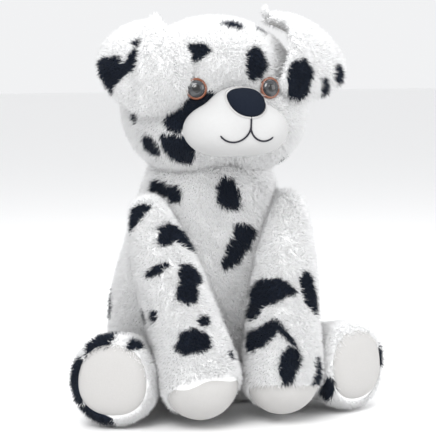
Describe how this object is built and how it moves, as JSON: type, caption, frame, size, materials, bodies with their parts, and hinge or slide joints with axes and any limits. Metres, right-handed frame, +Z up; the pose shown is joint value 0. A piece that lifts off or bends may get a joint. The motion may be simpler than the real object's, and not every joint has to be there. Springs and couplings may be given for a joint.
{
  "type": "plush dog",
  "caption": "Sitting plush puppy in white plush with dark patches: the head nods and turns, ears lift, front legs swing, hind legs splay and the tail wags.",
  "frame": {"origin": "centre line of the flat seat, on the surface the puppy sits on", "axes": "+Z up, the face looks along -Y, the puppy's left is +X"},
  "size_m": [0.2844, 0.2816, 0.3571],
  "materials": {
    "plush": "long white pile with navy-black patches",
    "short_pile": "short smooth pile",
    "filling": "loose polyester fibre",
    "nose_cloth": "dense dark velour",
    "thread": "embroidery thread",
    "eye_plastic": "gloss, thin brown ring",
    "washer_plastic": "moulded",
    "pouch_cloth": "plain weave",
    "pellets": "loose pellets"
  },
  "bodies": {
    "torso": {"torso_skin": "plush", "torso_filling": "filling", "seat_pouch": "pouch_cloth", "seat_pellets": "pellets"},
    "neck": {"neck_filling": "filling"},
    "head": {"head_skin": "plush", "head_filling": "filling", "muzzle_panel": "short_pile", "muzzle_filling": "filling", "nose_patch": "nose_cloth", "mouth_stitching": "thread", "eye_right": "eye_plastic", "eye_right_washer": "washer_plastic", "eye_left": "eye_plastic", "eye_left_washer": "washer_plastic"},
    "ear_right": {"ear_right_outer": "plush", "ear_right_lining": "short_pile"},
    "ear_left": {"ear_left_outer": "plush", "ear_left_lining": "short_pile"},
    "front_leg_right": {"front_leg_right_skin": "plush", "front_leg_right_filling": "filling", "front_paw_right_pad": "short_pile"},
    "front_leg_left": {"front_leg_left_skin": "plush", "front_leg_left_filling": "filling", "front_paw_left_pad": "short_pile"},
    "hind_leg_right": {"hind_leg_right_skin": "plush", "hind_leg_right_filling": "filling", "hind_sole_right_pad": "short_pile"},
    "hind_leg_left": {"hind_leg_left_skin": "plush", "hind_leg_left_filling": "filling", "hind_sole_left_pad": "short_pile"},
    "tail": {"tail_skin": "plush", "tail_filling": "filling"}
  },
  "joints": [
    {"name": "neck_nod", "type": "hinge", "parent": "torso", "child": "neck", "pos_m": [0, -0.00067, 0.17961], "axis": [1, 0, 0], "range_deg": [-12, 15], "stiffness_Nm_per_rad": 3},
    {"name": "neck_turn", "type": "hinge", "parent": "neck", "child": "head", "pos_m": [0, -0.00067, 0.17961], "axis": [0, 0, 1], "range_deg": [-30, 30], "stiffness_Nm_per_rad": 1},
    {"name": "ear_right_lift", "type": "hinge", "parent": "head", "child": "ear_right", "pos_m": [-0.048, -0.01217, 0.3475], "axis": [0, 1, 0], "range_deg": [0, 60], "stiffness_Nm_per_rad": 0.05},
    {"name": "front_leg_right_swing", "type": "hinge", "parent": "torso", "child": "front_leg_right", "pos_m": [-0.064, -0.031, 0.178], "axis": [-1, 0, 0], "range_deg": [0, 45], "stiffness_Nm_per_rad": 0.4},
    {"name": "hind_leg_right_splay", "type": "hinge", "parent": "torso", "child": "hind_leg_right", "pos_m": [-0.07719, -0.0155, 0.042], "axis": [0, 0, -1], "range_deg": [0, 25], "stiffness_Nm_per_rad": 0.5},
    {"name": "ear_left_lift", "type": "hinge", "parent": "head", "child": "ear_left", "pos_m": [0.048, -0.01217, 0.3475], "axis": [0, -1, 0], "range_deg": [0, 60], "stiffness_Nm_per_rad": 0.05},
    {"name": "front_leg_left_swing", "type": "hinge", "parent": "torso", "child": "front_leg_left", "pos_m": [0.064, -0.031, 0.178], "axis": [-1, 0, 0], "range_deg": [0, 45], "stiffness_Nm_per_rad": 0.4},
    {"name": "hind_leg_left_splay", "type": "hinge", "parent": "torso", "child": "hind_leg_left", "pos_m": [0.07719, -0.0155, 0.042], "axis": [0, 0, 1], "range_deg": [0, 25], "stiffness_Nm_per_rad": 0.5},
    {"name": "tail_wag", "type": "hinge", "parent": "torso", "child": "tail", "pos_m": [0, 0.10319, 0.036], "axis": [0, 0, 1], "range_deg": [-35, 35], "stiffness_Nm_per_rad": 0.05}
  ]
}
